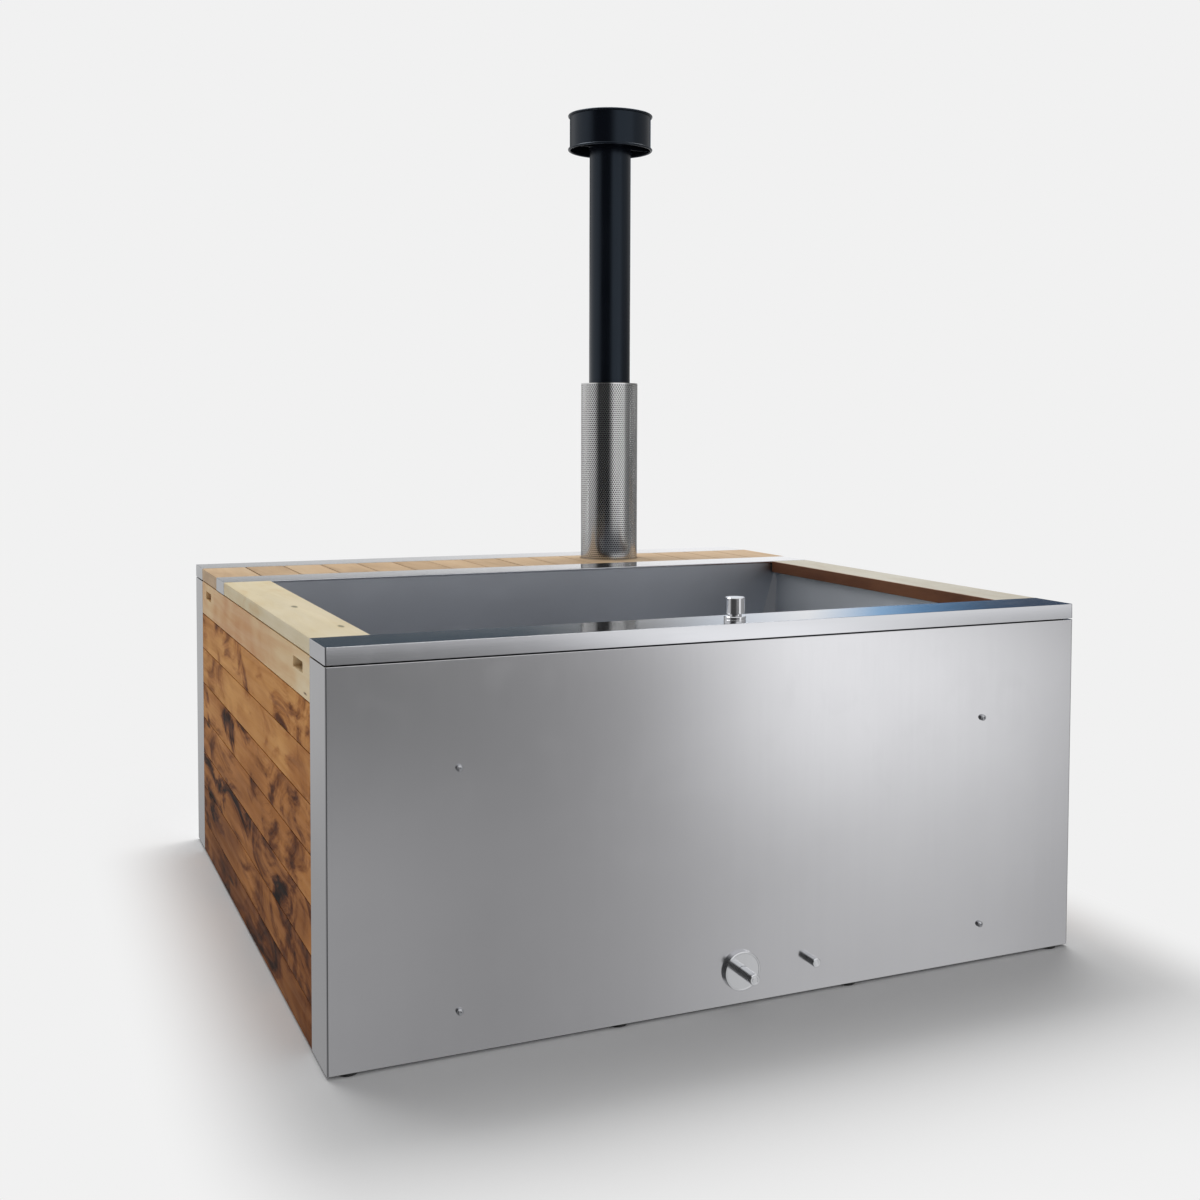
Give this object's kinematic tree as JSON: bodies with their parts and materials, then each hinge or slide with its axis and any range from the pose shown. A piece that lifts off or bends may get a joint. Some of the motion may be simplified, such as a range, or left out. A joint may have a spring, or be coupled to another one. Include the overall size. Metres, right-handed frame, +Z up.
{
  "type": "wood-burning hot tub",
  "caption": "Square stainless hot tub with wooden side panels and armrests, a built-in wood stove behind the basin and an upright chimney with a perforated guard.",
  "frame": {"origin": "on the floor under the middle of the square casing", "axes": "+X to the right when facing the front panel, +Y towards the stove at the back, +Z up; the front panel faces -Y"},
  "size_m": [1.72, 1.844, 2.144],
  "materials": {
    "stainless": "brushed",
    "basin_steel": "brushed",
    "polished_steel": "satin polished",
    "screw_steel": "satin",
    "frame_steel": "powder coated",
    "stove_steel": "heat resistant matt paint",
    "grate_iron": "as cast",
    "flue_black": "satin black",
    "guard_steel": "perforated, brushed",
    "armrest_wood": "oiled",
    "top_plank_wood": "oiled",
    "plank_wood": "oiled",
    "deck_wood": "oiled",
    "batten_wood": "raw",
    "valve_brass": "as machined",
    "black_plastic": "matt",
    "seal_rope": "woven glass rope"
  },
  "bodies": {
    "casing": {"base_cross_tubes": "frame_steel", "base_side_tubes": "frame_steel", "feet": "black_plastic", "posts": "frame_steel", "front_uprights": "frame_steel", "cross_rails": "frame_steel", "side_rails": "frame_steel", "floor_bearers": "frame_steel", "front_panel": "stainless", "rear_panel": "stainless", "panel_screws": "screw_steel", "front_rim": "stainless", "middle_bar": "stainless", "rear_rim": "stainless", "left_armrest": "armrest_wood", "right_armrest": "armrest_wood", "panel_catches": "black_plastic", "deck_slats": "deck_wood", "deck_battens": "batten_wood", "flue_bearers": "frame_steel", "flue_plate": "stainless", "tub_basin": "basin_steel", "waste_fitting": "polished_steel", "drain_pipe": "basin_steel", "drain_valve": "valve_brass", "drain_rosette": "polished_steel", "jacket_drain_pipe": "basin_steel", "jacket_drain_valve": "valve_brass", "rim_knob_base": "polished_steel", "rim_control": "black_plastic", "plug_cable": "black_plastic", "circulation_grilles": "polished_steel", "circulation_pipes": "basin_steel", "stove_jacket": "stove_steel", "firebox": "stove_steel", "grate": "grate_iron", "baffle_plate": "stove_steel", "door_hinges": "stove_steel", "flue_spigot": "stove_steel"},
    "left_panel": {"left_top_plank": "top_plank_wood", "left_planks": "plank_wood", "left_battens": "batten_wood"},
    "right_panel": {"right_top_plank": "top_plank_wood", "right_planks": "plank_wood", "right_battens": "batten_wood"},
    "hatch": {"hatch_slats": "deck_wood", "hatch_battens": "batten_wood"},
    "knob_on_rim": {"rim_knob": "polished_steel"},
    "plug": {"drain_plug": "polished_steel"},
    "knob_of_drain": {"drain_knob": "polished_steel"},
    "knob_of_jacket_drain": {"jacket_drain_knob": "polished_steel"},
    "door": {"stove_door": "stove_steel", "door_seal": "seal_rope"},
    "door_lever": {"door_handle": "flue_black"},
    "ash_box": {"ash_drawer": "stove_steel"},
    "air_plate": {"air_slide": "polished_steel"},
    "chimney": {"flue_pipe": "flue_black", "flue_cap": "flue_black", "cap_brackets": "flue_black"},
    "guard": {"heat_guard": "guard_steel"}
  },
  "joints": [
    {"name": "rim_knob_turn", "type": "hinge", "parent": "casing", "child": "knob_on_rim", "pos_m": [0, -0.822, 0.8], "axis": [0, 0, 1], "range_deg": [0, 110]},
    {"name": "plug_lift", "type": "slide", "parent": "casing", "child": "plug", "axis": [0, 0, 1], "range_m": [0, 0.012]},
    {"name": "drain_knob_turn", "type": "hinge", "parent": "casing", "child": "knob_of_drain", "pos_m": [0, -0.87, 0.076], "axis": [0, 1, 0], "range_deg": [0, 90]},
    {"name": "jacket_drain_turn", "type": "hinge", "parent": "casing", "child": "knob_of_jacket_drain", "pos_m": [0.165, -0.86, 0.076], "axis": [0, 1, 0], "range_deg": [0, 90]},
    {"name": "door_swing", "type": "hinge", "parent": "casing", "child": "door", "pos_m": [0.16, 0.8523, 0.35], "axis": [0, 0, 1], "range_deg": [0, 110]},
    {"name": "door_lever_turn", "type": "hinge", "parent": "door", "child": "door_lever", "pos_m": [0.475, 0.85, 0.35], "axis": [0, -1, 0], "range_deg": [0, 60]},
    {"name": "ash_box_slide", "type": "slide", "parent": "casing", "child": "ash_box", "axis": [0, 1, 0], "range_m": [0, 0.25]},
    {"name": "air_plate_slide", "type": "slide", "parent": "ash_box", "child": "air_plate", "axis": [1, 0, 0], "range_m": [0, 0.022]},
    {"name": "hatch_lift", "type": "slide", "parent": "casing", "child": "hatch", "axis": [0, 0, 1], "range_m": [0, 0.25]},
    {"name": "left_panel_off", "type": "slide", "parent": "casing", "child": "left_panel", "axis": [-1, 0, 0], "range_m": [0, 0.3]},
    {"name": "right_panel_off", "type": "slide", "parent": "casing", "child": "right_panel", "axis": [1, 0, 0], "range_m": [0, 0.3]},
    {"name": "chimney_lift", "type": "slide", "parent": "casing", "child": "chimney", "axis": [0, 0, 1], "range_m": [0, 0.4]},
    {"name": "guard_lift", "type": "slide", "parent": "casing", "child": "guard", "axis": [0, 0, 1], "range_m": [0, 0.5]}
  ],
  "couplings": [
    {"joint": "plug_lift", "follows": "rim_knob_turn", "m_per_rad": 0.00625}
  ]
}
